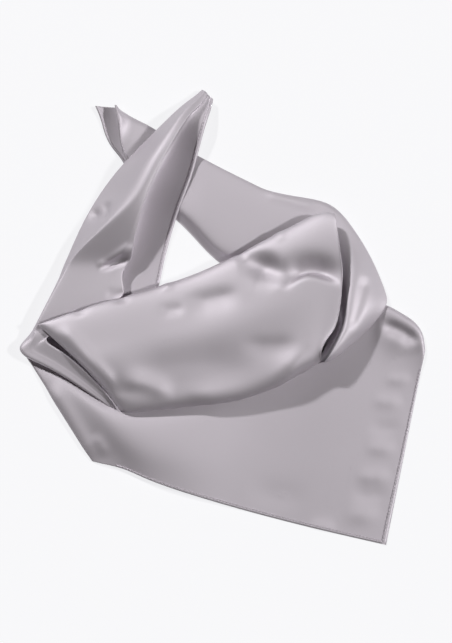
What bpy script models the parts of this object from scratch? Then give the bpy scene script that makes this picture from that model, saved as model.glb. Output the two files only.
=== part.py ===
"""A square satin neckerchief, laid loosely crossed on a table.

The cloth is one hemmed square. It lies as a kerchief does when it is slipped off the neck: the
point hangs out flat in front, the cowl is folded over it, and the two tails cross behind.
Each stretch that shows is an object of its own. Sizes are in millimetres, seen from above:
x runs to the right, y away from the point, z up from the table.
"""

import math
from collections import namedtuple

import bmesh
import bpy
from mathutils import Vector

MM = 0.001

# Driving dimensions
CLOTH = 1.2             # wall that stands for the satin
REST = 0.4              # space between layers that lie on each other
MIDDLE = (0.85, 0.25)   # middle of the whole scarf in the tables below, which becomes the origin
SATIN = (0.46, 0.43, 0.46, 1.0)
SATIN_ROUGH = 0.38


def between(a, b, share):
    """The point that lies this share of the way from a to b."""
    return tuple(p + (q - p) * share for p, q in zip(a, b))


def mixed(one, two, share):
    """A number, a point or a whole row of a table, this share of the way from one to two."""
    if isinstance(one, tuple):
        return tuple(mixed(a, b, share) for a, b in zip(one, two))
    return one + (two - one) * share


def row_at(table, position):
    """The row of a table at a position that may lie between two rows."""
    first = min(int(position), len(table) - 2)
    return type(table[0])(*mixed(table[first], table[first + 1], position - first))


def start_scene(name):
    """Empties the scene and returns a collection for the scarf."""
    for thing in list(bpy.data.objects):
        bpy.data.objects.remove(thing)
    collection = bpy.data.collections.new(name)
    bpy.context.scene.collection.children.link(collection)
    return collection


def satin(name):
    material = bpy.data.materials.new(name)
    material.use_nodes = True
    shader = material.node_tree.nodes["Principled BSDF"]
    shader.inputs["Base Color"].default_value = SATIN
    shader.inputs["Roughness"].default_value = SATIN_ROUGH
    shader.inputs["Metallic"].default_value = 0.0
    return material


def drawn_in(rows, closed):
    """Where subdivision takes each point of a cage, from its neighbours along one direction."""
    last = len(rows) - 1
    result = []
    for i, here in enumerate(rows):
        if not closed and i in (0, last):
            result.append(here)
            continue
        result.append((rows[i - 1] + rows[(i + 1) % len(rows)] + here * 4) / 6)
    return result


def cage(sections, closed):
    """A cage that stands out from the wanted points by as much as subdivision draws it in.

    It never goes below the table.
    """
    across = [[2 * p - q for p, q in zip(ring, drawn_in(ring, closed))] for ring in sections]
    columns = [list(column) for column in zip(*across)]
    along = [[2 * p - q for p, q in zip(column, drawn_in(column, False))] for column in columns]
    for column in along:
        for point in column:
            point.z = max(point.z, 0.0)
    return [list(ring) for ring in zip(*along)]


def stretch_between(name, rings, collection, closed, capped=False):
    """An object whose faces join each ring of points to the next one."""
    mesh = bpy.data.meshes.new(name)
    shape = bmesh.new()
    middle = Vector((*MIDDLE, 0.0))
    points = [[shape.verts.new((Vector(p) - middle) * MM) for p in ring] for ring in rings]
    for one, two in zip(points, points[1:]):
        count = len(one) if closed else len(one) - 1
        for i in range(count):
            j = (i + 1) % len(one)
            shape.faces.new((one[i], one[j], two[j], two[i]))
    if capped:
        shape.faces.new(points[0])
        shape.faces.new(points[-1])
        bmesh.ops.recalc_face_normals(shape, faces=shape.faces)
    shape.to_mesh(mesh)
    shape.free()
    mesh.shade_smooth()
    mesh.materials.append(satin(name + "_satin"))
    stretch = bpy.data.objects.new(name, mesh)
    collection.objects.link(stretch)
    return stretch


def soften(stretch, levels=1):
    smooth = stretch.modifiers.new("Soft", "SUBSURF")
    smooth.levels = levels
    smooth.render_levels = levels
    smooth.boundary_smooth = "PRESERVE_CORNERS"


def cloth(name, sections, collection, closed=False, exact=True):
    """A stretch of cloth through its sections, outer side given, with the wall laid inside it."""
    rings = [[Vector(p) for p in ring] for ring in sections]
    if exact:
        rings = cage(rings, closed)
    stretch = stretch_between(name, rings, collection, closed)
    soften(stretch)
    thick = stretch.modifiers.new("Wall", "SOLIDIFY")
    thick.thickness = CLOTH * MM
    thick.offset = -1
    return stretch


def hidden_layers(name, rings, collection):
    """The layers that nothing shows of, as one rounded solid."""
    soften(stretch_between(name, rings, collection, closed=True, capped=True))


# The front panel lies flat on the table. Its left edge is a puffed fold that turns under. Columns
# run from the bottom hem to the end that the cowl hides: share of the hem, the hidden end, and how
# much of the puffed fold's height the column has.
HEM_LEFT = (-129.5, -144.5)
HEM_RIGHT = (161.5, -226.5)
HEM_SAG = 5.0           # the bottom hem curves this far out of the straight
HEM_ASIDE = 0.28        # and this share of that to the left
Panel = namedtuple("Panel", "share top puff curl")
FRONT_PANEL = (
    Panel(0.030, (-190, -50), 0.0, 1),
    Panel(0.010, (-195, -48), 0.0, 1),
    Panel(0.000, (-197, -46), 0.45, 0),
    Panel(0.010, (-195, -45), 0.90, 0),
    Panel(0.035, (-188, -46), 1.0, 0),
    Panel(0.075, (-176, -48), 0.70, 0),
    Panel(0.130, (-150, -58), 0.28, 0),
    Panel(0.210, (-112, -78), 0.05, 0),
    Panel(0.340, (-50, -80), 0.0, 0),
    Panel(0.480, (20, -66), 0.0, 0),
    Panel(0.620, (80, -44), 0.0, 0),
    Panel(0.760, (124, -16), 0.0, 0),
    Panel(0.890, (165, 2), 0.0, 0),
    Panel(1.000, (202, -30), 0.0, 0),
)
PUFF = ((0.0, 11.0), (0.16, 12.5), (0.36, 12.0), (0.56, 11.0), (0.74, 9.5), (0.88, 8.0), (1.0, 6.5))


def panel_section(row_share, puff):
    """One row across the panel, this share of the way from the bottom hem to the hidden end."""
    ring = []
    for column in FRONT_PANEL:
        x, y = between(HEM_LEFT, HEM_RIGHT, column.share)
        sag = HEM_SAG * math.sin(math.pi * column.share)
        x, y = between((x - sag * HEM_ASIDE, y - sag), column.top, row_share)
        floor = 0.0 if column.curl else CLOTH
        ring.append((x, y, floor + puff * column.puff))
    return ring


# The right corner: the panel's far corner, folded under, so that a soft roll lies along its edge.
Turn = namedtuple("Turn", "edge inside edge_z crest_z")
RIGHT_CORNER = (
    Turn((162, 11), (142, 0), 5.7, 5.5),
    Turn((174, 4), (148, -8), 6.5, 7),
    Turn((187, -2), (158, -17), 7.5, 10),
    Turn((197, -14), (168, -23), 7.5, 10),
    Turn((203, -30), (182, -30), 6.5, 7),
    Turn((202, -44), (190, -40), 5, 4.6),
)


CORNER_UNDER = (0.36, 0.12)         # shares of the way inside where the cloth lies turned under
CORNER_SHOULDER = 0.16
CORNER_CREST = 0.45
CORNER_FOOT = (0.80, 0.42)          # share of the way inside, and of the crest's height


def corner_roll(row):
    low = CLOTH + REST
    foot, foot_rise = CORNER_FOOT
    return [
        *((*between(row.edge, row.inside, share), low) for share in CORNER_UNDER),
        (*row.edge, (low + row.edge_z) / 2),
        (*between(row.edge, row.inside, CORNER_SHOULDER), row.edge_z),
        (*between(row.edge, row.inside, CORNER_CREST), row.crest_z),
        (*between(row.edge, row.inside, foot), mixed(low, row.crest_z, foot_rise)),
        (*row.inside, low + CLOTH),
    ]


# The cowl: a wide roll, open at both ends. Its back edge lies to the crossed tails and its front
# edge over the point. bow moves the middle of a section to the right.
Cowl = namedtuple("Cowl", "back front bow under heights")
COWL = (
    Cowl((-181, -11), (-101, -94), 5, (20, 12), (27, 24, 21)),
    Cowl((-163, -3), (-85, -96), 2, (19, 9), (29, 31, 25)),
    Cowl((-123, 11), (-53, -93), 0, (17, 3), (29, 32, 24)),
    Cowl((-78, 24), (-23, -89), 0, (9, 1.0), (26, 31, 22)),
    Cowl((-33, 39), (5, -85), 0, (6, 1.0), (25, 31, 22)),
    Cowl((2, 54), (29, -79), 0, (9.5, 1.0), (27, 32, 23)),
    Cowl((39, 73), (54, -70), 0, (11, 1.2), (29, 33, 25)),
    Cowl((74, 91), (77, -59), 4, (13, 4), (32, 35, 29)),
    Cowl((99, 104), (91, -52), 10, (17, 8), (35, 36, 32)),
    Cowl((110, 99), (96, -48), 12, (19, 12), (28, 27, 26)),
)
COWL_ROUND = (
    # share across, share of the way up from the underside
    (0.00, 0.45), (0.05, 0.82), (0.18, 1.0), (0.34, 1.0), (0.50, 1.0), (0.66, 1.0), (0.80, 1.0),
    (0.95, 0.80), (1.00, 0.42), (0.96, 0.06), (0.80, 0.0), (0.50, 0.0), (0.18, 0.0), (0.04, 0.08),
)
COWL_ROWS = (0, 1, 2, 3, 4, 5, 6, 6.6, 7.2, 7.7, 8.2, 9)

# The largest folds of the cowl's upper side, as soft troughs and one ridge.
Fold = namedtuple("Fold", "start end width depth")
COWL_FOLDS = (
    Fold((28, 58), (60, 44), 12, -4.0),
    Fold((68, 60), (116, 41), 9, -5.0),
    Fold((-28, 16), (22, 33), 14, -2.0),
    Fold((-160, -10), (-112, -70), 9, -3.0),
    Fold((-90, -78), (-50, -84), 8, -4.0),
    Fold((78, -24), (95, -44), 7, 2.5),
)


def fold_depth(folds, x, y):
    """How far the folds move the cloth up or down at a point, all together."""
    depth = 0.0
    for fold in folds:
        start = Vector(fold.start)
        run = Vector(fold.end) - start
        here = Vector((x, y)) - start
        share = min(max(here.dot(run) / run.length_squared, 0.0), 1.0)
        off = (here - run * share).length / fold.width
        depth += fold.depth * math.exp(-off * off)
    return depth


HEIGHTS_AT = (0.18, 0.50, 0.80)     # shares of the way to the front edge where the heights stand


def cowl_height(row, share):
    """Height of the cowl's upper side, this share of the way to its front edge."""
    back, middle, front = row.heights
    back_at, middle_at, front_at = HEIGHTS_AT
    if share < middle_at:
        return mixed(back, middle, max((share - back_at) / (middle_at - back_at), 0.0))
    return mixed(middle, front, min((share - middle_at) / (front_at - middle_at), 1.0))


def cowl_point(row, share):
    """Where the cowl's section is in plan, this share of the way to its front edge."""
    x, y = between(row.back, row.front, share)
    return x + row.bow * math.sin(math.pi * share), y


def cowl_section(row):
    ring = []
    for share, rise in COWL_ROUND:
        x, y = cowl_point(row, share)
        under = mixed(*row.under, share)
        top = cowl_height(row, share) - under
        upper = rise * rise * fold_depth(COWL_FOLDS, x, y)
        ring.append((x, y, under + top * rise + upper))
    return ring


# What the cowl hides: the rest of the square, rolled up in it. At both ends its layers show.
LAYERS_LEFT = 1.2       # row of the cowl where they end at the left, and at the right
LAYERS_RIGHT = 7.9
LAYERS_ROWS = (1.6, 2.5, 3.5, 4.5, 5.3, 6.0, 6.6, 7.3)
LAYERS_ACROSS = (0.16, 0.32, 0.50, 0.68, 0.82)
LAYERS_EDGES = (0.05, 0.20, 0.36, 0.50, 0.64, 0.80, 0.95)
LAYERS_REACH = 0.22     # how far each layer's edge stands out, in rows
ROOM_ABOVE = 3.6        # empty space between the layers and the cowl's wall


def inside_cowl(position, share, rise):
    """A point inside the cowl: row, share of the way to the front, share of the height."""
    row = row_at(COWL, position)
    x, y = cowl_point(row, share)
    floor = mixed(*row.under, share) + CLOTH + REST
    roof = cowl_height(row, share) - CLOTH - ROOM_ABOVE + min(fold_depth(COWL_FOLDS, x, y), 0.0)
    return x, y, mixed(floor, roof, rise)


def cowl_layers():
    rings = []
    for share in LAYERS_ACROSS:
        ring = [inside_cowl(position, share, 0.0) for position in LAYERS_ROWS]
        for number, rise in enumerate(LAYERS_EDGES):
            reach = LAYERS_REACH if number % 2 else 0.0
            ring.append(inside_cowl(LAYERS_RIGHT + reach, share, rise))
        ring += [inside_cowl(position, share, 1.0) for position in reversed(LAYERS_ROWS)]
        for number, rise in enumerate(reversed(LAYERS_EDGES)):
            reach = LAYERS_REACH if number % 2 else 0.0
            ring.append(inside_cowl(LAYERS_LEFT - reach, share, rise))
        rings.append(ring)
    return rings


# The left tail: one layer that starts at a rounded left edge, rises to a ridge whose lip hangs
# over, and turns back under the lip to lie out to the hem. Its first rows turn round the left
# corner and run in under the cowl.
Tail = namedtuple("Tail", "edge ridge lip hem under edge_z ridge_z lip_z valley_z hem_z tuck")
LEFT_TAIL = (
    Tail((-107, -94), (-103, -90), (-100, -87), (-92, -79), 3, 6.5, 9, 9, 7, 6, 0),
    Tail((-124, -83), (-116, -76), (-111, -71), (-100, -62), 4.5, 8, 10.5, 10, 7, 5, 0),
    Tail((-163, -57), (-153, -47), (-146, -42), (-130, -30), 7, 11, 13.5, 12.5, 9, 7, 0),
    Tail((-190, -44), (-176, -36), (-160, -31), (-132, -25), 8, 13, 15.5, 14, 9, 6.5, 0),
    Tail((-201, -33), (-180, -24), (-140, -12), (-95, -6), 8, 13, 16, 12, 5, 4, 0),
    Tail((-191, -18), (-162, -8), (-118, 6), (-75, 8), 6, 12, 15.5, 11, 3, 2, 4),
    Tail((-184, -4), (-152, 8), (-100, 22), (-65, 26), 4, 11, 16, 12, 2.4, 2.0, 8),
    Tail((-167, 33), (-133, 38), (-100, 43), (-59, 54), 1, 9, 23, 21, 2.4, 2.0, 8),
    Tail((-153, 64), (-120, 64), (-91, 64), (-54, 73), 1, 9, 25, 24, 3, 3, 8),
    Tail((-139, 96), (-106, 94), (-83, 92), (-48, 94), 2, 10, 30, 28, 10, 10, 7),
    Tail((-119, 129), (-84, 116), (-75, 118), (-40, 117), 6, 14, 36, 33, 14, 12, 4),
    Tail((-95, 155), (-68, 146), (-62, 147), (-33, 140), 12, 20, 40, 37, 18, 12, 2),
    Tail((-70, 183), (-54, 173), (-48, 172), (-25, 166), 11, 20, 40, 37, 18, 11, 1),
    Tail((-46, 209), (-39, 199), (-35, 197), (-18, 191), 4, 14, 34, 32, 15, 6, 1),
    Tail((-30, 222), (-25, 214), (-22, 212), (-12, 207), 2, 9, 20, 19, 10, 4, 1),
    Tail((-22, 227), (-18, 223), (-16, 221), (-10, 217), 1, 6, 12, 11, 7, 3, 0),
)


TAIL_UNDER = (0.22, 0.04)           # shares of the way to the hem where the cloth lies turned under
SHOULDER = (0.18, 0.30)             # share of the way to the ridge, and of its height
FLANK = (0.55, 0.80)
LIP_DROP = 2.0                      # the lip's edge is this far below its top
LIP_BACK = 0.4                      # share of the lip's height where it starts to turn back
VALLEY_AT = 0.35                    # shares of the way from the lip to the hem
HEM_RISE_AT = 0.75


def set_back(row, distance):
    """The place in plan this far behind the lip, away from the hem."""
    return Vector(row.lip) - (Vector(row.hem) - Vector(row.edge)).normalized() * distance


def tail_section(row):
    back = set_back(row, row.tuck)
    flanks = [(*between(row.edge, row.ridge, share), mixed(row.edge_z, row.ridge_z, rise))
              for share, rise in (SHOULDER, FLANK)]
    return [
        *((*between(row.edge, row.hem, share), row.under) for share in TAIL_UNDER),
        (*row.edge, (row.under + row.edge_z) / 2),
        *flanks,
        (*row.ridge, row.ridge_z),
        (*row.lip, row.lip_z - LIP_DROP),
        (*back, mixed(row.valley_z, row.lip_z, LIP_BACK)),
        (*between(back, row.hem, VALLEY_AT), row.valley_z),
        (*between(back, row.hem, HEM_RISE_AT), (row.valley_z + row.hem_z) / 2),
        (*row.hem, row.hem_z),
    ]


# What the left tail's ridge hides: the layers folded under it, as one rounded solid.
TAIL_LAYERS_ROWS = (6.6, 7.2, 8.0, 8.8, 9.5)
TAIL_ROOM = 4.0         # empty space between the layers and the tail's wall
LAYERS_START = 0.55     # shares of the way from the left edge to the ridge
LAYERS_SHOULDER = 0.75
SHOULDER_RISE = 0.7     # share of the ridge's height that the wall has over the shoulder
START_RISE = 0.2        # shares of the layers' own height, round the section
RIGHT_RISES = (0.15, 0.6)
TOP_RISE = 0.95
TOP_AT = 0.6            # share of the way from the ridge to the right side


def tail_layers_section(row):
    floor = row.under + REST
    ridge_z = row.ridge_z - TAIL_ROOM
    shoulder = between(row.edge, row.ridge, LAYERS_SHOULDER)
    shoulder_z = mixed(row.edge_z, row.ridge_z, SHOULDER_RISE) - TAIL_ROOM
    right = set_back(row, row.tuck + TAIL_ROOM)
    return [
        (*between(row.edge, row.ridge, LAYERS_START), mixed(floor, shoulder_z, START_RISE)),
        (*shoulder, floor),
        (*row.ridge, floor),
        *((*right, mixed(floor, ridge_z, rise)) for rise in RIGHT_RISES),
        (*between(row.ridge, right, TOP_AT), mixed(floor, ridge_z, TOP_RISE)),
        (*row.ridge, ridge_z),
        (*shoulder, shoulder_z),
    ]


# The band behind: a flattened fold that comes out from under the left tail, and turns forward in
# a bend at the right of the cowl. fold is the outer folded edge and roll the inner rounded one.
Band = namedtuple("Band", "fold crest roll low fold_z crest_z roll_z")
BACK_BAND = (
    Band((-75, 193), (-92, 158), (-96, 148), 0, 4.5, 7.5, 4.5),
    Band((-50, 176), (-68, 130), (-71, 122), 0, 4.5, 7.5, 4.5),
    Band((-26, 163), (-43, 108), (-46, 100), 0, 4.5, 7.5, 4.5),
    Band((-2, 150), (-22, 88), (-26, 80), 0, 4.5, 8, 4.5),
    Band((28, 135), (6, 62), (0, 54), 0, 5, 8, 4),
)
BEND = (
    Band((28.7, 134.6), (6.7, 61.6), (0.7, 53.6), 0, 5, 8, 4),
    Band((48, 126), (38, 80), (30, 50), 0, 5, 8, 4),
    Band((78, 120), (70, 92), (60, 55), 0, 5, 9, 4),
    Band((108, 113), (96, 90), (82, 55), 0, 6, 11, 4),
    Band((128, 92), (110, 74), (92, 48), 0, 7, 14, 4),
    Band((148, 60), (124, 50), (100, 34), 1, 8, 18, 4),
    Band((161, 27), (132, 22), (104, 14), 3, 9, 22, 4),
    Band((163, 11), (134, 6), (104, 2), 6, 11, 24, 4.5),
    Band((150, -8), (130, -10), (102, -14), 6, 12, 26, 5),
    Band((132, -26), (121, -24), (100, -26), 7, 15, 26, 6),
    Band((117, -39), (112, -36), (102, -33), 9, 15, 22, 8),
)


BAND_UNDER = (0.45, 0.08)           # shares of the way to the crest where the cloth lies turned under
FOLD_LIFT = 0.4                     # the outer fold's edge is this far above its middle height
FOLD_SWELL = 1.0                    # the cloth swells this far above the fold, just inside it
SWELL_AT = 0.14                     # share of the way to the crest where it does
RISE = (0.55, 0.72)                 # share of the way to the crest, and of the height to gain
FALL = (0.6, 0.6)                   # share of the way to the roll, and of the height to lose


def band_section(row):
    """Runs in under the outer fold, round it, up to the crest and down under what lies inside."""
    rise_at, rise = RISE
    fall_at, fall = FALL
    return [
        *((*between(row.fold, row.crest, share), row.low) for share in BAND_UNDER),
        (*row.fold, (row.low + row.fold_z) / 2 + FOLD_LIFT),
        (*between(row.fold, row.crest, SWELL_AT), row.fold_z + FOLD_SWELL),
        (*between(row.fold, row.crest, rise_at), mixed(row.fold_z, row.crest_z, rise)),
        (*row.crest, row.crest_z),
        (*between(row.crest, row.roll, fall_at), mixed(row.crest_z, row.roll_z, fall)),
        (*row.roll, row.roll_z),
    ]


# The back tail: the end of the band, two layers of one corner, joined by the fold at its right and
# open at its left.
Corner = namedtuple("Corner", "fold upper lower rise")
BACK_TAIL = (
    Corner((-107, 211), (-112, 211.5), (-127, 209.5), 6),
    Corner((-104, 208.5), (-109, 201), (-123, 200), 8),
    Corner((-100, 206), (-106, 191), (-119.5, 187), 9.5),
    Corner((-94.5, 203), (-104, 176), (-113, 173), 9),
    Corner((-87, 199), (-101, 163), (-103, 161), 7.5),
    Corner((-75.5, 193.3), (-95, 152), (-97, 150), 7.5),
)


LOWER_AT = (0.0, 0.5, 0.93)         # shares of the way from the lower hem to the fold
FOLD_RISE = 0.35                    # share of the corner's height that the fold's edge has
UPPER_AT = ((0.10, 0.7), (0.5, 1.0), (1.0, 0.92))  # share of the way to the upper hem, and of the height


def corner_section(row):
    return [
        *((*between(row.lower, row.fold, share), 0.0) for share in LOWER_AT),
        (*row.fold, row.rise * FOLD_RISE),
        *((*between(row.fold, row.upper, share), row.rise * rise) for share, rise in UPPER_AT),
    ]


def main():
    scarf = start_scene("satin_neckerchief")
    cloth("front_panel", [panel_section(*row) for row in PUFF], scarf, exact=False)
    cloth("right_corner", [corner_roll(row) for row in RIGHT_CORNER], scarf, exact=False)
    cloth("cowl_fold", [cowl_section(row_at(COWL, row)) for row in COWL_ROWS], scarf, closed=True)
    hidden_layers("cowl_layers", cowl_layers(), scarf)
    cloth("left_tail", [tail_section(row) for row in LEFT_TAIL], scarf)
    hidden_layers("tail_layers", [tail_layers_section(row_at(LEFT_TAIL, row)) for row in TAIL_LAYERS_ROWS],
                  scarf)
    cloth("back_band", [band_section(row) for row in BACK_BAND], scarf)
    cloth("right_bend", [band_section(row) for row in BEND], scarf)
    cloth("back_tail", [corner_section(row) for row in BACK_TAIL], scarf)


main()
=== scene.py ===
# %% [markdown]
# # A satin neckerchief, laid loosely crossed
#
# The real thing is one hemmed square of satin, 70 cm a side. It was slipped off the neck and laid
# on a table: its point lies flat in front, a wide puffed fold, the cowl, lies over the point, and
# the two tails cross behind. We build each stretch that shows as a thin shell of its own, on the
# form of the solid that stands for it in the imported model, and load that model first, as a frame.

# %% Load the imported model
from collections import namedtuple

import bpy
import numpy as np
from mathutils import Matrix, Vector


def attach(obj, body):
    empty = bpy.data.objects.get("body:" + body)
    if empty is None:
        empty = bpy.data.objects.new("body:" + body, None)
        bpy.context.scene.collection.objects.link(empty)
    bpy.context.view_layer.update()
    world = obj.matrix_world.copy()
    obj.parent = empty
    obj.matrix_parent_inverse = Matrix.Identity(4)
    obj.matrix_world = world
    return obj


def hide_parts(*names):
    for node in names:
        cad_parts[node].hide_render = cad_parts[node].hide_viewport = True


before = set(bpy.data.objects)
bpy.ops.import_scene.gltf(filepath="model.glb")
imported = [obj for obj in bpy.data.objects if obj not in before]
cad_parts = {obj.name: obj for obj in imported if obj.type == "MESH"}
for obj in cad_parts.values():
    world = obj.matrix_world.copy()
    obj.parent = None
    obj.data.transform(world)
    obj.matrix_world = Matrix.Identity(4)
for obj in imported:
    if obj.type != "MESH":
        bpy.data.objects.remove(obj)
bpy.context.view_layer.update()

# %% [markdown]
# ## Sizes
#
# Tables are in millimetres, seen from above, as a maker would mark the folds on a cutting mat laid
# under the scarf. The whole drawing then moves so that the middle of the scarf is the origin.
# Satin is about 0.2 mm thick. A shell of 0.5 mm is still thin, and shows a clean edge in a render.

# %% Named sizes
MM = 0.001
MIDDLE = np.array((0.85, 0.25, 0.0))    # middle of the scarf in the tables
SATIN = 0.5                             # thickness of the shell
SQUARE = 0.70                           # side of the cut square, in metres
GRAIN = 2.0                             # distance between neighbouring points of a shell
print("a square of", SQUARE, "m, drawn on a grid of", GRAIN, "mm")

# %% [markdown]
# ## Reading between the rows of a table
#
# Each stretch is a table with one row for each place where its section was read. These helpers
# find a point or a whole row between two others.


# %% Helpers for tables
def between(a, b, share):
    """The point that lies this share of the way from a to b."""
    return tuple(p + (q - p) * share for p, q in zip(a, b))


def mixed(one, two, share):
    """A number, a point or a whole row of a table, this share of the way from one to two."""
    if isinstance(one, tuple):
        return tuple(mixed(a, b, share) for a, b in zip(one, two))
    return one + (two - one) * share


def row_at(table, position):
    """The row of a table at a position that may lie between two rows."""
    first = min(int(position), len(table) - 2)
    return type(table[0])(*mixed(table[first], table[first + 1], position - first))


print("half way from 0 to 10 is", mixed(0, 10, 0.5))

# %% [markdown]
# ## From a few sections to smooth cloth
#
# Cloth that isn't pulled tight bends in long smooth curves. We could model it with a subdivision
# surface, and this is the same surface worked out in the script itself: a cubic B-spline through a
# cage of sections. Working it out here, we know which point follows which, so that hems, creases
# and stitches can follow the cloth later. A spline cuts its corners, so the cage first moves out by
# as much as the spline will draw it in.


# %% Smooth surface through sections
def spline_weights(places, count, closed):
    """A row of weights for each place along a cubic B-spline of count points."""
    weights = np.zeros((len(places), count))
    for line, place in enumerate(places):
        first = int(np.floor(place)) if closed else min(int(place), count - 2)
        t = place - first
        basis = ((1 - t) ** 3 / 6, (3 * t ** 3 - 6 * t * t + 4) / 6,
                 (-3 * t ** 3 + 3 * t * t + 3 * t + 1) / 6, t ** 3 / 6)
        for number, share in zip(range(first - 1, first + 3), basis):
            if closed:
                weights[line, number % count] += share
            elif number < 0:
                weights[line, 0] += 2 * share
                weights[line, 1] -= share
            elif number >= count:
                weights[line, count - 1] += 2 * share
                weights[line, count - 2] -= share
            else:
                weights[line, number] += share
    return weights


def moved_out(cage, axis, closed):
    """The cage, moved out along one of its axes by as much as a spline draws it in."""
    count = cage.shape[axis]
    weights = spline_weights(np.arange(count), count, closed)
    return 2 * cage - np.moveaxis(np.tensordot(weights, cage, (1, axis)), 0, axis)


def divided(steps, longest):
    """Places that divide each of the steps into parts no longer than this."""
    counts = np.ceil(steps / longest).astype(int).clip(1)
    return np.concatenate([step + np.arange(parts) / parts for step, parts in enumerate(counts)])


def even_places(cage, axis, closed):
    """Places along one axis of a cage, about one grain apart on the cloth."""
    ahead = np.roll(cage, -1, axis) if closed else np.delete(cage, 0, axis)
    here = cage if closed else np.delete(cage, -1, axis)
    steps = np.linalg.norm(ahead - here, axis=2).max(axis=1 - axis)
    places = divided(steps, GRAIN)
    return places if closed else np.append(places, cage.shape[axis] - 1.0)


def smooth_cloth(sections, closed=False):
    """A fine grid of points on the smooth surface through the sections, and its columns' places."""
    cage = moved_out(moved_out(np.array(sections, dtype=float), 1, closed), 0, False)
    cage[:, :, 2] = cage[:, :, 2].clip(0)
    across = even_places(cage, 1, closed)
    rows = spline_weights(even_places(cage, 0, False), cage.shape[0], False)
    columns = spline_weights(across, cage.shape[1], closed)
    return np.einsum("ri,ijk,cj->rck", rows, cage, columns), across


print("weights half way along a spline of 4 points:", spline_weights([1.5], 4, False).round(3))

# %% [markdown]
# ## Creases
#
# Satin is limp but springy: where it is folded it breaks into soft troughs and ridges, steeper on
# one side than on the other, and each fades out at its ends. A painter's noise can't place them,
# so each is drawn one by one: the line that it follows seen from above, how wide it is on the left
# and on the right of that line, and how high it stands (a trough is below 0). We add them along
# the cloth's own normals, and more where the cloth faces up, since they are drawn from above. Only
# the cowl's back wall, which stands upright, has a few of its own.

# %% Creases drawn one by one
Crease = namedtuple("Crease", "path left right high")
LINE_STEP = 1.5                         # distance between the points of a crease's line
REACH = 3                               # a crease reaches this many widths from its line,
FADE = 2.2                              # fades over this many widths at each of its ends,
SHORTEST_FADE = 0.2                     # and over this share of its length at least
FULL_TILT = 0.35                        # how far up cloth faces before it takes a crease in full
EVERY_SLOPE = -1.5                      # the face that lets cloth of every slope take one in full


def smooth_line(path):
    """A fine line through the points of a path."""
    points = moved_out(np.array(path, dtype=float)[:, None, :], 0, False)[:, 0, :]
    steps = np.linalg.norm(np.diff(points, axis=0), axis=1)
    places = np.append(divided(steps, LINE_STEP), len(points) - 1.0)
    return spline_weights(places, len(points), False) @ points


def crease_height(crease, plan):
    """How far one crease moves each point of a plan, in mm."""
    line = smooth_line(crease.path)
    start, run = line[:-1], np.diff(line, axis=0)
    lengths = np.linalg.norm(run, axis=1)
    wide = max(crease.left, crease.right)
    low, high = line.min(axis=0) - REACH * wide, line.max(axis=0) + REACH * wide
    near = ((plan > low) & (plan < high)).all(axis=1)
    height = np.zeros(len(plan))
    if not near.any():
        return height
    here = plan[near][:, None, :] - start[None, :, :]
    along = ((here * run).sum(axis=2) / (lengths ** 2)).clip(0, 1)
    off = here - along[:, :, None] * run
    away = np.linalg.norm(off, axis=2)
    nearest = away.argmin(axis=1)
    pick = np.arange(len(nearest))
    side = run[nearest, 0] * off[pick, nearest, 1] - run[nearest, 1] * off[pick, nearest, 0]
    width = np.where(side > 0, crease.left, crease.right)
    place = (np.concatenate(([0], np.cumsum(lengths)))[nearest]
             + along[pick, nearest] * lengths[nearest]) / lengths.sum()
    ends = min(max(FADE * wide / lengths.sum(), SHORTEST_FADE), 0.5)
    fade = np.clip(np.minimum(place, 1 - place) / ends, 0, 1)
    fade = fade * fade * (3 - 2 * fade)
    height[near] = crease.high * fade * np.exp(-(away[pick, nearest] / width) ** 2)
    return height


def normals(grid, closed):
    """The unit normal of each point of a grid of cloth."""
    if closed:
        along = np.roll(grid, -1, 1) - np.roll(grid, 1, 1)
    else:
        along = np.gradient(grid, axis=1)
    across = np.gradient(grid, axis=0)
    normal = np.cross(along, across)
    return normal / np.linalg.norm(normal, axis=2, keepdims=True).clip(1e-9)


def crease_cloth(grid, creases, closed=False, floor=0.0, face=0.0, share=1.0):
    """The grid with its creases, on cloth whose normal points up by more than face.

    Share is how much of them each column takes, and floor how low the cloth may lie.
    """
    plan = grid[:, :, :2].reshape(-1, 2)
    height = sum(crease_height(crease, plan) for crease in creases).reshape(grid.shape[:2])
    normal = normals(grid, closed)
    height = height * ((normal[:, :, 2] - face) / FULL_TILT).clip(0, 1) * share
    grid = grid + normal * height[:, :, None]
    grid[:, :, 2] = grid[:, :, 2].clip(floor)
    return grid


trough = Crease(((0, 0), (40, 0)), 5, 5, -4)
print("a trough 4 mm deep is", crease_height(trough, np.array([[20, 5.0]])), "mm deep 5 mm aside")


# %% [markdown]
# ## Laying a shell
#
# A shell is a mesh through the grid. Solidify gives it its thickness on the inner side, so the
# outer side keeps its place. It rides on the scarf's one body and takes the place of its solid.


# %% Lay a shell of satin
def window(across, start, end, soft=0.5):
    """1 for the columns from start to end, fading to 0 on both sides."""
    return ((across - start) / soft + 0.5).clip(0, 1) * ((end - across) / soft + 0.5).clip(0, 1)


def cloth_size(grid, closed):
    """Mean length of the rows, mean length of the columns, and area, in mm and square mm."""
    if closed:
        grid = np.concatenate((grid, grid[:, :1]), axis=1)
    along, down = np.diff(grid, axis=1), np.diff(grid, axis=0)
    rows = np.linalg.norm(along, axis=2).sum(axis=1)
    columns = np.linalg.norm(down, axis=2).sum(axis=0)
    area = np.linalg.norm(np.cross(along[:-1], down[:, :-1]), axis=2).sum()
    return round(rows.mean()), round(columns.mean()), round(area)


def new_piece(name, points, faces, material):
    """A smooth piece through points in the tables' millimetres."""
    mesh = bpy.data.meshes.new(name)
    mesh.from_pydata(((points - MIDDLE) * MM).tolist(), [], faces)
    mesh.shade_smooth()
    mesh.materials.append(material)
    piece = bpy.data.objects.new(name, mesh)
    bpy.context.scene.collection.objects.link(piece)
    return piece


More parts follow.
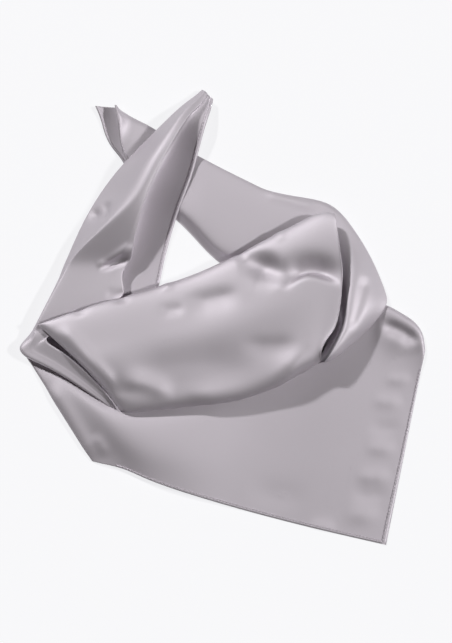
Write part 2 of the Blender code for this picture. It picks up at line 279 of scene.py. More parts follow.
def lay_shell(name, grid, material, nodes, closed=False, thick=SATIN):
    """A thin shell of cloth through a grid of points, which stands for these nodes."""
    rows, columns = grid.shape[:2]
    number = np.arange(rows * columns).reshape(rows, columns)
    ahead = np.roll(number, -1, 1) if closed else number[:, 1:]
    here = number if closed else number[:, :-1]
    faces = np.stack((here[:-1], ahead[:-1], ahead[1:], here[1:]), axis=-1).reshape(-1, 4)
    piece = new_piece(name, grid.reshape(-1, 3), faces.tolist(), material)
    if thick:
        wall = piece.modifiers.new("Cloth", "SOLIDIFY")
        wall.thickness = thick * MM
        wall.offset = -1
    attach(piece, "root")
    if nodes:
        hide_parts(*nodes)
    print(name, "has", len(faces), "faces, and is", *cloth_size(grid, closed))
    return piece


# %% [markdown]
# ## The satin
#
# A plain light mauve-grey satin. Its long floats of smooth yarn send light back in a wide soft
# band, so it is lit brighter than chalk where it faces half way between the lamp and the eye, and
# falls off quickly as it turns away. We could use a fabric sheen, but sheen glows at grazing
# angles, where satin is dark. A half metallic, half rough surface is nearer to the real one.


# %% A wrapper for shader sockets
class Socket:
    """A shader socket that can be used in sums, so that shader maths reads as Python."""

    def __init__(self, tree, link):
        self.tree = tree
        self.link = link

    def node(self, kind, settings=None, output=0, **values):
        """Any node: its type, the settings that come first, and its sockets' values or links."""
        node = self.tree.nodes.new(kind)
        for key, value in (settings or {}).items():
            setattr(node, key, value)
        for key, value in values.items():
            socket = node.inputs[int(key[1:]) if key[1:].isdigit() else key.replace("_", " ")]
            if isinstance(value, Socket):
                self.tree.links.new(value.link, socket)
            else:
                socket.default_value = value
        return Socket(self.tree, node.outputs[output])

    def math(self, operation, *values):
        """One step of maths on these values."""
        return self.node("ShaderNodeMath", {"operation": operation},
                         **{"i%d" % number: value for number, value in enumerate(values)})

    def __add__(self, other):
        return self.math("ADD", self, other)

    __radd__ = __add__

    def __mul__(self, other):
        return self.math("MULTIPLY", self, other)

    __rmul__ = __mul__

    def mix(self, one, two):
        """The colour one where this is 0 and two where it is 1."""
        return self.node("ShaderNodeMix", {"data_type": "RGBA"}, 2, Factor=self, i6=one, i7=two)


print("the wrapper is ready")


# %% The satin's finish
CLOUDY = 0.035                          # how much lighter or darker its colour is in places
METALLIC = 0.92                         # how much of its light comes straight off the yarn


def satin_finish(name, tone, matt=0.66):
    """A satin: tone is its colour, and matt how rough its shine is."""
    material = bpy.data.materials.new(name)
    material.use_nodes = True
    tree = material.node_tree
    shader = tree.nodes["Principled BSDF"]
    start = Socket(tree, None)
    where = start.node("ShaderNodeTexCoord", None, "Object")
    cloudy = start.node("ShaderNodeTexNoise", None, 0, Vector=where, Scale=9.0, Detail=2.0)
    slub = start.node("ShaderNodeTexNoise", None, 0, Vector=where, Scale=420.0, Detail=3.0)
    darker, lighter = [tuple(channel * side for channel in tone) + (1.0,)
                       for side in (1 - CLOUDY, 1 + CLOUDY)]
    tree.links.new(cloudy.mix(darker, lighter).link, shader.inputs["Base Color"])
    # both noises lie round a half, so together they add about the 0.04 that is taken off first
    rough = matt - 0.04 + cloudy * 0.05 + slub * 0.03
    tree.links.new(rough.link, shader.inputs["Roughness"])
    weave = start.node("ShaderNodeBump", None, 0, Strength=0.10, Distance=0.0002, Height=slub)
    tree.links.new(weave.link, shader.inputs["Normal"])
    shader.inputs["Metallic"].default_value = METALLIC
    print(name, "is ready")
    return material


LIGHT_SATIN = satin_finish("light_satin", (0.60, 0.562, 0.603))

# %% [markdown]
# ## The front panel
#
# The point of the square hangs out flat in front, and its left edge is a fold that stays puffed.
# A cloth simulation could drape it, but wouldn't put the folds where these lie. So each column of
# the table below runs from a place on the bottom hem to the end that the cowl hides, and a second
# table says how high the cloth stands in each row across them.

# %% The front panel
HEM_LEFT = (-129.5, -144.5)
HEM_RIGHT = (161.5, -226.5)
HEM_SAG = 5.0                           # how far the middle of the hem hangs below a straight line
HEM_LEAN = 0.28                         # how far left it goes for each mm down
HEM_ARCH = 3.2                          # the hem arches over the table near its left end,
ARCH_AT, ARCH_WIDE = 0.11, 0.08         # at this share of its length, and this wide
LAID_Z, TURNED_Z = 0.8, 0.2             # height of laid cloth, and of cloth turned under
Panel = namedtuple("Panel", "share top puff curl corner")
FRONT_PANEL = (
    Panel(0.030, (-188, -42), 0.0, 1, 0.0),
    Panel(0.010, (-194, -40), 0.0, 1, 0.0),
    Panel(0.000, (-197, -38), 0.20, 0, 0.0),
    Panel(0.010, (-195, -37), 0.33, 0, 0.0),
    Panel(0.035, (-187, -40), 0.45, 0, 0.0),
    Panel(0.075, (-174, -44), 0.60, 0, 0.0),
    Panel(0.130, (-150, -58), 0.80, 0, 0.0),
    Panel(0.210, (-112, -78), 1.00, 0, 0.0),
    Panel(0.340, (-50, -80), 0.72, 0, 0.0),
    Panel(0.480, (20, -66), 0.20, 0, 0.0),
    Panel(0.600, (80, -44), 0.0, 0, 0.0),
    Panel(0.710, (124, -8), 0.0, 0, 0.3),
    Panel(0.790, (148, 9), 0.0, 0, 0.8),
    Panel(0.850, (163, 11), 0.0, 0, 1.0),
    Panel(0.905, (178, 3), 0.0, 0, 1.0),
    Panel(0.950, (190, -5), 0.0, 0, 1.0),
    Panel(0.980, (199, -17), 0.0, 0, 0.9),
    Panel(1.000, (202, -34), 0.0, 0, 0.5),
)
PanelRow = namedtuple("PanelRow", "share puff lift under")
PANEL_ROWS = (
    PanelRow(0.00, 7.0, 0.0, 0), PanelRow(0.16, 9.0, 0.0, 0), PanelRow(0.36, 12.0, 0.0, 0),
    PanelRow(0.56, 13.0, 0.0, 0), PanelRow(0.72, 12.0, 0.0, 0), PanelRow(0.83, 9.0, 1.0, 0),
    PanelRow(0.91, 6.5, 3.5, 0), PanelRow(0.96, 5.5, 6.0, 0), PanelRow(0.99, 5.0, 5.5, 0),
    PanelRow(1.00, 4.5, 2.5, 0), PanelRow(0.99, 2.5, 0.4, 1), PanelRow(0.93, 2.0, 0.2, 1),
)


def panel_section(row):
    """One row across the panel, from its left fold to its right hem."""
    ring = []
    for column in FRONT_PANEL:
        x, y = between(HEM_LEFT, HEM_RIGHT, column.share)
        arch = HEM_ARCH * np.exp(-((column.share - ARCH_AT) / ARCH_WIDE) ** 2)
        sag = HEM_SAG * np.sin(np.pi * column.share) - arch
        x, y = between((x - sag * HEM_LEAN, y - sag), column.top, row.share)
        low = TURNED_Z if column.curl or row.under else LAID_Z
        ring.append((x, y, low + row.puff * column.puff + row.lift * column.corner))
    return ring


PANEL_CREASES = (
    # the puffed left fold
    Crease(((-172, -66), (-156, -92), (-138, -122), (-124, -144)), 8, 9, 2.0),
    Crease(((-130, -116), (-120, -128), (-114, -142)), 6, 6, 1.3),
    # the roll along the right corner's fold, and the trough inside it
    Crease(((150, -8), (172, -16), (190, -26), (196, -40)), 14, 18, 2.4),
    Crease(((156, -9), (168, -11), (183, -18), (196, -30)), 6, 7, -4.2),
    # short wrinkles along the right hem, and longer ones over the bottom hem
    Crease(((190, -60), (174, -64), (160, -60)), 6, 6, 0.8),
    Crease(((182, -83), (166, -86), (146, -82)), 7, 7, 0.9),
    Crease(((180, -108), (162, -112), (142, -110)), 7, 8, -0.7),
    Crease(((176, -129), (160, -132), (138, -130)), 7, 8, 1.0),
    Crease(((170, -156), (152, -160), (128, -158)), 7, 8, 1.0),
    Crease(((168, -175), (148, -178), (124, -176)), 7, 8, -0.7),
    Crease(((160, -192), (140, -198), (116, -196)), 9, 10, 1.2),
    Crease(((114, -206), (98, -210), (80, -206)), 7, 7, 1.1),
    Crease(((90, -186), (60, -178), (20, -176)), 12, 14, -0.7),
)
panel_grid, _ = smooth_cloth([panel_section(row) for row in PANEL_ROWS])
panel_grid = crease_cloth(panel_grid, PANEL_CREASES, floor=0.1)
front = lay_shell("front_point", panel_grid, LIGHT_SATIN, ["front_panel", "right_corner"])

# %% [markdown]
# ## The cowl
#
# The wide puffed fold that lies over the point. It is a roll, open at both ends. Its back edge lies
# towards the crossed tails and its front edge over the point. We could push a cylinder into shape,
# but that leaves many points to move by hand. A row for each section says as much in a few numbers:
# where its back and front are, how high it lies and stands, and how steep its front face is.

# %% The cowl
FACE_AT, FACE_RISE = 0.9, 0.8           # where the front face starts, and how far up it is steep
TOP_FROM, TOP_TO = 0.18, 0.80           # where the upper side starts and ends, from back to front
PINCH_AT, PINCH_WIDE = 0.905, 0.055     # where the right end is pinched, and over what width
Cowl = namedtuple("Cowl", "back front bow under heights face pinch", defaults=(FACE_RISE, 0.0))
COWL = (
    Cowl((-182, -10), (-101, -94.5), 5, (20, 12), (22, 17, 14)),
    Cowl((-176, -8), (-96, -95.5), 4, (20, 11), (27, 27.5, 21)),
    Cowl((-162, -3), (-85, -96), 2, (19, 9), (29, 32, 24)),
    Cowl((-123, 11), (-53, -93), 0, (17, 3), (29, 31, 23), 0.9),
    Cowl((-78, 24), (-23, -89), 0, (9, 1), (26, 30.5, 24), 0.92),
    Cowl((-33, 39), (5, -85), 0, (6, 1), (25, 30.5, 25), 0.92),
    Cowl((2, 54), (29, -79), 0, (9.5, 1), (27, 31.5, 26.5), 0.92),
    Cowl((39, 73), (54, -70), 0, (11, 1.2), (29, 33, 30), 0.92),
    Cowl((74, 91), (77, -59), 4, (13, 4), (32, 35, 35), 0.88),
    Cowl((96, 101), (89, -52), 10, (17, 8), (34, 35, 34), 0.9, 2),
    Cowl((109, 101), (96.5, -47.5), 12, (19, 12), (35.5, 36, 35), 0.95, 8.5),
    Cowl((111.5, 98), (97.5, -46.5), 12.5, (22, 16), (36.5, 37, 36), 0.95, 9.5),
)
COWL_ROUND = (
    # share across, share of the way up from the underside
    (0.00, 0.45), (0.05, 0.82), (0.18, 1.0), (0.34, 1.0), (0.50, 1.0), (0.66, 1.0), (0.78, 1.0),
    (0.86, 1.0), (0.95, 0.80), (1.00, 0.42), (0.96, 0.06), (0.80, 0.0), (0.50, 0.0), (0.18, 0.0),
    (0.04, 0.08),
)
COWL_ROWS = (0, 1, 2, 3, 4, 5, 6, 7, 7.6, 8.2, 9, 10, 11)


def cowl_height(row, share):
    """Height of the cowl's upper side, this share of the way to its front edge."""
    back, middle, front = row.heights
    if share < 0.5:
        return mixed(back, middle, max((share - TOP_FROM) / (0.5 - TOP_FROM), 0.0))
    return mixed(middle, front, min((share - 0.5) / (TOP_TO - 0.5), 1.0))


def cowl_point(row, share):
    """Where the cowl's section is in plan, this share of the way to its front edge."""
    x, y = between(row.back, row.front, share)
    bow = row.bow * np.sin(np.pi * share ** 1.2)
    return x + bow - row.pinch * np.exp(-((share - PINCH_AT) / PINCH_WIDE) ** 2), y


def cowl_section(row):
    """Once round the cowl."""
    ring = []
    for share, rise in COWL_ROUND:
        under = mixed(*row.under, share)
        if share > FACE_AT and rise > 0.1:
            rise = rise * row.face / FACE_RISE
        ring.append((*cowl_point(row, share), under + (cowl_height(row, share) - under) * rise))
    return ring


COWL_CREASES = (
    Crease(((-108, -52), (-62, -47), (-15, -46), (30, -44)), 22, 16, -2.1),
    Crease(((58, 22), (66, 34), (80, 42), (97, 41), (120, 30)), 13, 4.5, -9.0),
    Crease(((12, 47), (32, 50), (48, 44), (63, 30)), 11, 14, -9.0),
    Crease(((-42, 8), (-14, 15), (22, 22)), 8, 12, -2.6),
    Crease(((-66, 2), (-34, 7)), 6, 6, -1.4),
    Crease(((14, -30), (45, -32), (78, -28)), 8, 12, -1.6),
    Crease(((-164, -12), (-147, -24), (-127, -48), (-102, -74)), 7, 6, 2.0),
    Crease(((-106, -66), (-86, -66), (-66, -72), (-44, -80)), 10, 9, 3.2),
    Crease(((-36, -86), (8, -82), (38, -76), (58, -64), (72, -46), (82, -32)), 10, 7, 2.6),
)
COWL_BACK_CREASES = (
    # short wrinkles on the back wall
    Crease(((-144, 14), (-140, 2), (-136, -10)), 6, 7, -1.3),
    Crease(((-101, 26), (-98, 14), (-93, 0)), 5, 7, -1.6),
    Crease(((-58, 38), (-54, 27), (-51, 14)), 5, 6, 1.2),
    Crease(((14, 70), (20, 57), (26, 42)), 6, 8, -1.6),
    Crease(((52, 90), (58, 76), (63, 62)), 5, 6, 1.2),
)
cowl_sections = [cowl_section(row_at(COWL, row)) for row in COWL_ROWS]
cowl_grid, cowl_across = smooth_cloth(cowl_sections, closed=True)
cowl_grid = crease_cloth(cowl_grid, COWL_CREASES, closed=True)
# the ring starts and ends in the back wall
ring_end = len(COWL_ROUND)
back_wall = window(cowl_across, -1.0, 1.0) + window(cowl_across, ring_end - 1.0, ring_end + 1.0)
cowl_grid = crease_cloth(cowl_grid, COWL_BACK_CREASES, closed=True, face=EVERY_SLOPE,
                         share=back_wall)
cowl = lay_shell("cowl", cowl_grid, LIGHT_SATIN, ["cowl_fold"], closed=True)

# %% [markdown]
# ## The layers inside the cowl
#
# More of the square is rolled up inside the cowl, and its layers show at the slit in the left end.
# We could leave the cowl empty, but the slit would then show a hollow. A smaller roll, worked out
# from the cowl's own rows, follows its shape.

# %% The layers inside the cowl
LAYERS_ROWS = (2.6, 3.5, 4.5, 5.5, 6.3, 7.0, 7.6, 8.3)
LAYERS_EDGES = (0.05, 0.20, 0.36, 0.50, 0.64, 0.80, 0.95)
LAYERS_ACROSS = (0.16, 0.32, 0.50, 0.68, 0.82)
LAYERS_LEFT, LAYERS_RIGHT = 2.2, 8.9    # the rows of the cowl where the rolled layers end
LAYERS_STEP = 0.22                      # how far every second layer stands out there, in rows
LAYERS_UNDER, LAYERS_OVER = 1.6, 12.0   # how far they are drawn in from its underside and top


def inside_cowl(position, share, rise):
    """A point inside the cowl: row, share of the way to the front, share of the height."""
    row = row_at(COWL, position)
    low = mixed(*row.under, share) + LAYERS_UNDER
    high = cowl_height(row, share) - LAYERS_OVER
    return (*cowl_point(row, share), mixed(low, high, rise))


def layers_end(end, share, step, edges):
    """The layers' edges at one end of the roll, where every second one is a step further on."""
    return [inside_cowl(end + step * (layer % 2), share, rise) for layer, rise in enumerate(edges)]


def rolled_layers():
    """Rings round the rolled layers, from the back of the cowl to its front."""
    rings = []
    for share in LAYERS_ACROSS:
        ring = [inside_cowl(position, share, 0.0) for position in LAYERS_ROWS]
        ring += layers_end(LAYERS_RIGHT, share, LAYERS_STEP, LAYERS_EDGES)
        ring += [inside_cowl(position, share, 1.0) for position in reversed(LAYERS_ROWS)]
        ring += layers_end(LAYERS_LEFT, share, -LAYERS_STEP, LAYERS_EDGES[::-1])
        rings.append(ring)
    return rings


inner_grid, _ = smooth_cloth(rolled_layers(), closed=True)
inner = lay_shell("rolled_layers", inner_grid, LIGHT_SATIN, ["cowl_layers"], closed=True)

# %% [markdown]
# ## The left tail
#
# One layer starts at a rounded left edge, rises to a ridge whose lip hangs over, and turns back
# under the lip to lie out to the hem. At its lower end it turns round the left corner and runs in
# under the cowl. A sheet pushed up from below could make the ridge, but not a lip that hangs over,
# so each section goes all the way round the lip.

# %% The left tail
Tail = namedtuple("Tail", "edge ridge lip hem under edge_z ridge_z lip_z valley_z hem_z tuck")
LEFT_TAIL = (
    Tail((-107, -94), (-106.5, -93.5), (-105.5, -92.5), (-92, -79), 4, 9, 10, 12, 3, 3, 1),
    Tail((-124, -83), (-121, -78), (-118.5, -73.5), (-100, -62), 5, 12, 13, 15, 3, 3, 3),
    Tail((-163, -57), (-157, -49), (-150.5, -41.5), (-130, -30), 7.5, 14, 14.5, 16.5, 1.5, 2, 6),
    Tail((-190, -44), (-181, -36), (-170.5, -29), (-132, -25), 8, 14, 14.5, 16.5, 1.5, 2, 6),
    Tail((-198, -38), (-185, -30), (-171.5, -20), (-118, -16), 8, 14, 14.5, 16.5, 1.5, 2, 6),
    Tail((-201, -30), (-182, -20), (-140, -10), (-95, -6), 8, 13, 16, 14, 4, 4, 2),
    Tail((-191, -18), (-181, -13), (-118, 6), (-75, 8), 6, 7, 15.5, 14, 3, 2, 6),
    Tail((-184, -4), (-175.5, -0.5), (-97, 20), (-65, 26), 3, 7, 17, 15.5, 2.4, 2, 9),
    Tail((-165, 34), (-156, 38), (-101, 41), (-59, 54), 1, 6, 16.5, 14.5, 2.4, 2, 9),
    Tail((-160, 48), (-147, 53.5), (-91.5, 54), (-56.5, 63), 1, 5, 17, 15.5, 2.4, 2.2, 9),
    Tail((-153, 64), (-132, 70), (-88.5, 66), (-54, 73), 1, 5, 23, 22, 2.4, 2.5, 9),
    Tail((-139, 96), (-103, 95), (-83, 92), (-48, 94), 1, 5, 33, 31, 2.6, 3, 9),
    Tail((-119, 129), (-83, 117), (-74, 118), (-40, 117), 2, 6, 38, 37, 5, 7, 9),
    Tail((-97, 155), (-69, 147), (-62, 147), (-31, 140), 9, 14, 39, 38.5, 8, 8.5, 7),
    Tail((-70, 183), (-54, 173), (-48, 172), (-24, 166), 9, 14, 36.5, 36.5, 9, 10.5, 5),
    Tail((-45, 209), (-39, 200), (-34, 198), (-17, 191), 4, 11, 27, 27, 16, 14.5, 1),
    Tail((-29, 222), (-25, 214), (-21, 212), (-12, 207), 2, 8, 19, 18, 12, 10.5, 1),
    Tail((-21, 229.5), (-17, 226), (-15, 224), (-9.5, 219), 1, 6, 12, 11, 8, 7, 0),
)


def tail_section(row):
    """From under the left edge, up the flank, over the ridge and lip, and out to the hem."""
    across = np.array(row.hem) - np.array(row.edge)
    back = tuple(np.array(row.lip) - across / np.linalg.norm(across) * row.tuck)
    rise = row.ridge_z - row.edge_z
    return [
        (*between(row.edge, row.hem, 0.22), row.under),
        (*between(row.edge, row.hem, 0.04), row.under),
        (*row.edge, (row.under + row.edge_z) / 2),
        (*between(row.edge, row.ridge, 0.10), row.edge_z + rise * 0.06),
        (*between(row.edge, row.ridge, 0.45), row.edge_z + rise * 0.45),
        (*between(row.edge, row.ridge, 0.76), row.edge_z + rise * 0.86),
        (*row.ridge, row.ridge_z),
        (*between(row.ridge, row.lip, 0.88), mixed(row.ridge_z, row.lip_z, 0.88)),
        (*between(row.ridge, row.lip, 0.97), row.lip_z - 0.3),
        (*row.lip, row.lip_z - 1.5),
        (*between(row.lip, back, 0.05), row.lip_z - 3),
        (*between(row.lip, back, 0.35), row.lip_z - 6),
        (*back, row.valley_z + (row.lip_z - row.valley_z) * 0.16),
        (*between(back, row.hem, 0.25), row.valley_z),
        (*between(back, row.hem, 0.75), (row.valley_z + row.hem_z) / 2),
        (*row.hem, row.hem_z),
    ]


TAIL_CREASES = (
    Crease(((-135, 108), (-127, 102), (-122, 92)), 5, 6, -2.6),
    Crease(((-114, 116), (-116, 104), (-120, 92)), 4, 5, -2.2),
    Crease(((-124, 46), (-110, 50), (-100, 53), (-88, 56)), 6, 3, -4.0),
    Crease(((-126, 48), (-112, 55), (-102, 62), (-88, 70)), 4, 3, 2.2),
    Crease(((-104, 43), (-106, 34), (-105, 22)), 2.5, 2.5, -0.7),
    Crease(((-118, 20), (-104, 21), (-90, 20)), 5, 5, -1.5),
)
tail_grid, tail_across = smooth_cloth([tail_section(row) for row in LEFT_TAIL])
flank_and_ridge = window(tail_across, 2.5, 8.0)
tail_grid = crease_cloth(tail_grid, TAIL_CREASES, share=flank_and_ridge)
left = lay_shell("left_tail_fold", tail_grid, LIGHT_SATIN, ["left_tail"])

# %% [markdown]
# ## The layers under the left tail's ridge
#
# More of the square is probably bunched under the ridge, out of sight, and holds it up. We could
# fold those layers one by one, but nobody would see them, so one rounded roll of cloth is enough.

# %% The layers under the left tail's ridge
RIDGE_CLEAR = 4                         # how far the roll is drawn in from the ridge
RIDGE_ROWS = (7.6, 8.6, 9.6, 10.6, 11.4)


def tail_layers_section(row):
    """Once round what the ridge hides."""
    low, high = row.under + 0.4, row.ridge_z - RIDGE_CLEAR
    across = np.array(row.hem) - np.array(row.edge)
    inward = row.tuck + RIDGE_CLEAR
    right = tuple(np.array(row.lip) - across / np.linalg.norm(across) * inward)
    shoulder = between(row.edge, row.ridge, 0.75)
    shoulder_z = row.edge_z + (row.ridge_z - row.edge_z) * 0.7 - RIDGE_CLEAR
    return [
        (*between(row.edge, row.ridge, 0.55), mixed(low, shoulder_z, 0.2)),
        (*shoulder, low), (*row.ridge, low), (*right, mixed(low, high, 0.15)),
        (*right, mixed(low, high, 0.6)), (*between(row.ridge, right, 0.6), mixed(low, high, 0.95)),
        (*row.ridge, high), (*shoulder, shoulder_z),
    ]


ridge_sections = [tail_layers_section(row_at(LEFT_TAIL, row)) for row in RIDGE_ROWS]
ridge_grid, _ = smooth_cloth(ridge_sections, closed=True)
under_ridge = lay_shell("layers_under_ridge", ridge_grid, LIGHT_SATIN, ["tail_layers"], closed=True)

# %% [markdown]
# ## The band behind, and its bend
#
# A flattened fold comes out from under the left tail, and turns forward in a bend at the right of
# the cowl. Two shells could meet at the bend, but a seam would show there. It is one stretch of
# cloth, so one shell stands for both of its solids.

# %% The band and its bend
# each row goes from the outer fold up to the crest, where the cloth rolls under, and to its foot
Band = namedtuple("Band", "fold crest roll low fold_z crest_z roll_z drop foot", defaults=(None,))
BAND = (
    Band((-62, 186), (-76, 150), (-80, 140), 0, 4, 5, 1.5, 0.5),
    Band((-50, 176), (-68, 130), (-71, 122), 0, 4, 4, 1.0, 0.5),
    Band((-26, 163), (-42, 110), (-46, 100), 0, 4.5, 6.5, 1.0, 0.5),
    Band((-2, 150), (-21, 90), (-26, 80), 0, 4.5, 8.5, 1.5, 0.5),
    Band((28, 135), (6, 64), (0, 54), 0, 5, 8.5, 2, 0.5),
    Band((48, 126), (38, 80), (30, 50), 0, 5, 8, 4, 0.5),
    Band((78, 120), (70, 92), (60, 55), 0, 5, 8, 4, 0.5),
    Band((108, 113), (96, 90), (82, 55), 0, 6, 8.5, 4, 0.5),
    Band((128, 92), (112, 72), (96, 48), 0, 7, 11, 4, 0.4),
    Band((148, 60), (124, 48), (104, 34), 1, 8, 19, 4, 0.3),
    Band((161, 27), (124, 24), (106, 14), 3, 9, 26, 4, 0.3),
    Band((163, 11), (122, 6), (110, 3), 6, 12, 29, 4.5, 0.5, (98, 0)),
    Band((150, -8), (119.5, -9), (118, -6), 8, 16, 31, 6, 0.6, (96, -16)),
    Band((132, -26), (112.5, -26), (113, -22), 12, 20, 32, 7, 0.6, (94, -32)),
    Band((113, -42), (104, -41.5), (105, -38), 18, 25, 32, 12, 0.6, (93, -44)),
    Band((103, -47), (99, -47.5), (100, -46), 20, 24, 27, 20, 0.6, (94, -48)),
)


def band_section(row):
    """In under the outer fold, round it, up to the crest and down under what lies inside."""
    foot = row.foot or between(row.crest, row.roll, 1.2)
    return [
        (*between(row.fold, row.crest, 0.45), row.low),
        (*between(row.fold, row.crest, 0.08), row.low),
        (*row.fold, (row.low + row.fold_z) / 2 + 0.4),
        (*between(row.fold, row.crest, 0.14), row.fold_z + 1),
        (*between(row.fold, row.crest, 0.55), row.fold_z + (row.crest_z - row.fold_z) * 0.86),
        (*row.crest, row.crest_z),
        (*between(row.crest, row.roll, 0.45), row.crest_z + (row.roll_z - row.crest_z) * row.drop),
        (*row.roll, row.roll_z),
        (*foot, row.roll_z * 0.7),
    ]


BAND_CREASES = (
    Crease(((143, 40), (138, 20), (132, 0), (125, -18)), 5, 6, -2.0),
    Crease(((42, 123), (70, 116), (96, 107)), 4, 5, 0.7),
)
band_grid, _ = smooth_cloth([band_section(row) for row in BAND])
band_grid = crease_cloth(band_grid, BAND_CREASES)
band = lay_shell("band_and_bend", band_grid, LIGHT_SATIN, ["back_band", "right_bend"])

# %% [markdown]
# ## The back tail
#
# The end of the band beyond the crossing: two layers of one corner, joined by a fold at the right
# and open at the left. Two flat triangles could stand for them, but the fold between is round, so
# each section runs from one hem, round the fold, to the other.

# %% The back tail
Corner = namedtuple("Corner", "fold upper lower rise mouth")
BACK_TAIL = (
    Corner((-106, 212), (-108, 212), (-128.5, 213), 14, 4),
    Corner((-103, 208.5), (-106, 201), (-123, 200), 15, 2),
    Corner((-99, 206), (-104, 190), (-119.5, 187), 14, 1),
    Corner((-94, 203), (-103, 176), (-113, 173), 10, 0),
    Corner((-87, 199), (-99, 163), (-103, 161), 8, 0),
    Corner((-75.5, 193.3), (-93, 152), (-96, 150), 8, 0),
    Corner((-60, 184), (-80, 142), (-82, 140), 6.5, 0),
)


def back_tail_section(row):
    """From the lower hem, in to the fold, and over it to the upper hem."""
    return [
        (*row.lower, row.mouth),
        (*between(row.lower, row.fold, 0.5), row.mouth * 0.3),
        (*between(row.lower, row.fold, 0.93), 0.0),
        (*row.fold, row.rise * 0.35),
        (*between(row.fold, row.upper, 0.10), row.rise * 0.7),
        (*between(row.fold, row.upper, 0.5), row.rise),
        (*row.upper, row.rise * 0.92),
    ]


back_grid, _ = smooth_cloth([back_tail_section(row) for row in BACK_TAIL])
back = lay_shell("back_tail_corner", back_grid, LIGHT_SATIN, ["back_tail"])

# %% [markdown]
# ## Turned hems and their stitches
#
# The square's edges are turned twice to the wrong side and stitched down, which makes a narrow
# band three layers thick. A ribbon follows each edge that shows, a little proud of the cloth, with
# a line of stitches near its inner edge. The stitches are short rods of thread sunk into the
# cloth, since at this distance only their length, spacing and shadow show.


# %% Follow an edge of a shell
def edge_lines(grid, inset):
    """The last column of a grid, the line this far inside it, and the normals along the edge."""
    steps = np.linalg.norm(np.diff(grid[:, ::-1], axis=1), axis=2).cumsum(axis=1)
    inside = np.empty_like(grid[:, -1])
    for line, (row, reached) in enumerate(zip(grid[:, ::-1], steps)):
        first = min(int(np.searchsorted(reached, inset)), row.shape[0] - 2)
        before = reached[first - 1] if first else 0.0
        share = (inset - before) / max(reached[first] - before, 1e-6)
        inside[line] = row[first] + (row[first + 1] - row[first]) * min(share, 1.0)
    return grid[:, -1], inside, normals(grid, False)[:, -1]


def along_line(points, places):
    """Points at these distances along a line."""
    reached = np.concatenate(([0.0], np.linalg.norm(np.diff(points, axis=0), axis=1).cumsum()))
    return np.stack([np.interp(places, reached, points[:, axis]) for axis in range(3)], axis=1)


# %% Stitches
STITCH_PITCH = 3.4                      # from the start of one stitch to the start of the next
STITCH_SHARE = 0.7                      # how much of that is thread
SEAM_ENDS = (2.0, 3.0)                  # how far from the hem's two ends the stitches keep
ROD_SIDES = 6
Ring = namedtuple("Ring", "share thick")
THREAD_ROD = (Ring(0.0, 0.15), Ring(0.2, 0.42), Ring(0.8, 0.42), Ring(1.0, 0.15))


def thread_rod(one, two, base):
    """The points of a rod of thread from one to two, and its faces, numbered from base."""
    run = (two - one) / np.linalg.norm(two - one)
    side = np.cross(run, (0.0, 0.0, 1.0))
    side /= np.linalg.norm(side)
    rise = np.cross(side, run)
    turns = np.arange(ROD_SIDES) * 2 * np.pi / ROD_SIDES
    points = [mixed(one, two, ring.share) + (side * np.cos(turn) + rise * np.sin(turn)) * ring.thick
              for ring in THREAD_ROD for turn in turns]
    faces = []
    for first in range(base, base + (len(THREAD_ROD) - 1) * ROD_SIDES, ROD_SIDES):
        for corner in range(ROD_SIDES):
            here, there = first + corner, first + (corner + 1) % ROD_SIDES
            faces.append((here, there, there + ROD_SIDES, here + ROD_SIDES))
    return points, faces


def lay_stitches(name, seam):
    """A row of stitches along a seam."""
    length = np.linalg.norm(np.diff(seam, axis=0), axis=1).sum()
    starts = np.arange(SEAM_ENDS[0], length - SEAM_ENDS[1], STITCH_PITCH)
    ends = starts + STITCH_PITCH * STITCH_SHARE
    points, faces = [], []
    for one, two in zip(along_line(seam, starts), along_line(seam, ends)):
        rod_points, rod_faces = thread_rod(one, two, len(points))
        points += rod_points
        faces += rod_faces
    stitches = new_piece(name, np.array(points), faces, THREAD)
    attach(stitches, "root")
    print(name, "are", len(starts), "in all")
    return stitches


# %% A hem and its stitches
HEM_WIDE = 5.0
SEAM_OUT = 0.22                         # the seam is this share out from the hem's inner edge
SEAM_UP = 0.62                          # and this high over the cloth
HemPoint = namedtuple("HemPoint", "share high")
HEM_ROUND = (
    # once round the hem: share of the way in from the cloth's edge, and height over the cloth
    HemPoint(0.0, 0.30), HemPoint(0.5, 0.70), HemPoint(1.0, 0.45),
    HemPoint(1.0, -0.30), HemPoint(0.5, -0.90), HemPoint(0.0, -0.85),
)


def lay_hem(name, grid, start=0.0, end=1.0, wide=HEM_WIDE):
    """A turned hem along the last column of a grid, from one share of its length to another."""
    first, last = int(start * (len(grid) - 1)), int(end * (len(grid) - 1)) + 1
    edge, inside, up = edge_lines(grid[first:last], wide)
    ring = [mixed(edge, inside, point.share) + up * point.high for point in HEM_ROUND]
    ribbon = lay_shell(name, np.stack(ring, axis=1), LIGHT_SATIN, [], closed=True, thick=0)
    return [ribbon, lay_stitches(name + "_stitches", mixed(inside, edge, SEAM_OUT) + up * SEAM_UP)]


# %% Thread, and the hems that show
THREAD = satin_finish("thread", (0.56, 0.52, 0.56), matt=0.7)
front_hems = (lay_hem("right_hem", panel_grid, 0.0, 0.80)
              + lay_hem("bottom_hem", panel_grid.transpose(1, 0, 2)[:, ::-1], 0.10, 1.0, wide=3.4))
tail_hems = lay_hem("tail_hem", tail_grid, 0.28, 1.0, wide=4.0)
back_hems = (lay_hem("back_tail_upper_hem", back_grid, wide=3.5)
             + lay_hem("back_tail_lower_hem", back_grid[::-1, ::-1], wide=3.5))

# %% [markdown]
# ## Floor, lights and camera
#
# The scarf lies on a plain pale table. Two lamps at about the same height, one behind at the left
# and one at the right, cast the two crossing shadows, and a weak sky fills them. Near lamps would
# light one side of the scarf more than the other, so both are far away, like suns. The camera looks
# almost straight down.

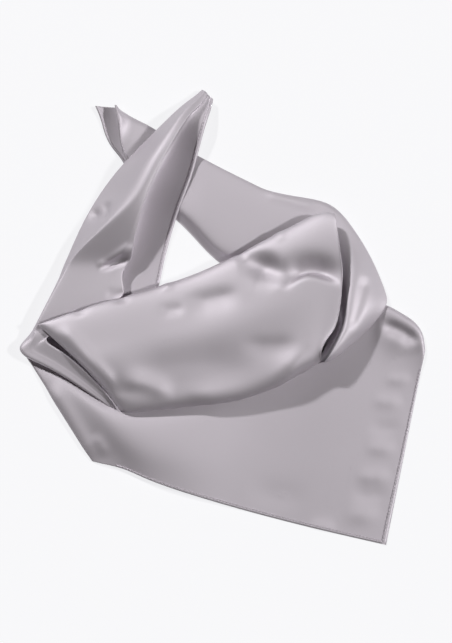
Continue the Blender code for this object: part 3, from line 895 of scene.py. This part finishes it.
# %% The table
TABLE_HALF = 3                          # half the table's side, in metres
pale = bpy.data.materials.new("pale_table")
pale.use_nodes = True
paint = pale.node_tree.nodes["Principled BSDF"].inputs
paint["Base Color"].default_value = (0.15, 0.15, 0.15, 1.0)
paint["Emission Color"].default_value = (0.98, 0.98, 1.0, 1.0)
paint["Emission Strength"].default_value = 0.80
paint["Roughness"].default_value = 0.8
corners = [(x * TABLE_HALF, y * TABLE_HALF, 0) for x, y in ((-1, -1), (1, -1), (1, 1), (-1, 1))]
floor_mesh = bpy.data.meshes.new("table_top")
floor_mesh.from_pydata(corners, [], [(0, 1, 2, 3)])
floor_mesh.materials.append(pale)
table_top = bpy.data.objects.new("table_top", floor_mesh)
bpy.context.scene.collection.objects.link(table_top)
print("the table is laid")


# %% Lamps
LAMP_HEIGHT = np.radians(41)            # a lamp's angle over the table
LAMP_STRENGTH = 2.1
LAMP_SIZE = np.radians(4)               # how wide it looks from the table, which softens its shadow


def lamp(name, towards):
    """A far lamp: towards is where it stands seen from above."""
    light = bpy.data.lights.new(name, "SUN")
    light.energy = LAMP_STRENGTH
    light.angle = LAMP_SIZE
    holder = bpy.data.objects.new(name, light)
    bpy.context.scene.collection.objects.link(holder)
    plan = Vector((*towards, 0.0)).normalized() * np.cos(LAMP_HEIGHT)
    place = Vector((*plan[:2], np.sin(LAMP_HEIGHT)))
    holder.rotation_euler = place.to_track_quat("Z", "Y").to_euler()


lamp("lamp_behind_left", (-0.61, 0.79))
lamp("lamp_right", (1.0, 0.0))
sky = bpy.data.worlds.new("sky")
sky.use_nodes = True
sky.node_tree.nodes["Background"].inputs["Color"].default_value = (1.0, 0.90, 0.86, 1.0)
sky.node_tree.nodes["Background"].inputs["Strength"].default_value = 0.05
bpy.context.scene.world = sky
bpy.context.scene.view_settings.view_transform = "Standard"
print("two lamps and a weak sky")

# %% Camera
LOOK_AT = Vector((0.00265, -0.00525, 0.0))
DISTANCE = 1.6
ELEVATION = 85.0
VIEW_HEIGHT = 0.643                     # how much of the table the picture shows, in metres
SENSOR = 36.0                           # the camera's own sensor, in millimetres
camera_data = bpy.data.cameras.new("camera")
camera_data.lens = SENSOR * DISTANCE / VIEW_HEIGHT
camera = bpy.data.objects.new("camera", camera_data)
bpy.context.scene.collection.objects.link(camera)
tilt = np.radians(ELEVATION)
camera.location = LOOK_AT + Vector((0.0, -np.cos(tilt), np.sin(tilt))) * DISTANCE
camera.rotation_euler = (np.pi / 2 - tilt, 0.0, 0.0)
bpy.context.scene.camera = camera
print("a lens of", round(camera_data.lens, 1), "mm")

# %% [markdown]
# ## The cut of each stretch
#
# The whole scarf is one square, 0.70 by 0.70 m. Each stretch is a part of it, and each shell
# printed its size as it was laid: how long it is along its rows and along its columns, and its
# true area, since most stretches taper. The cowl is measured once all round.


# %% Finish
print("the scarf is laid")
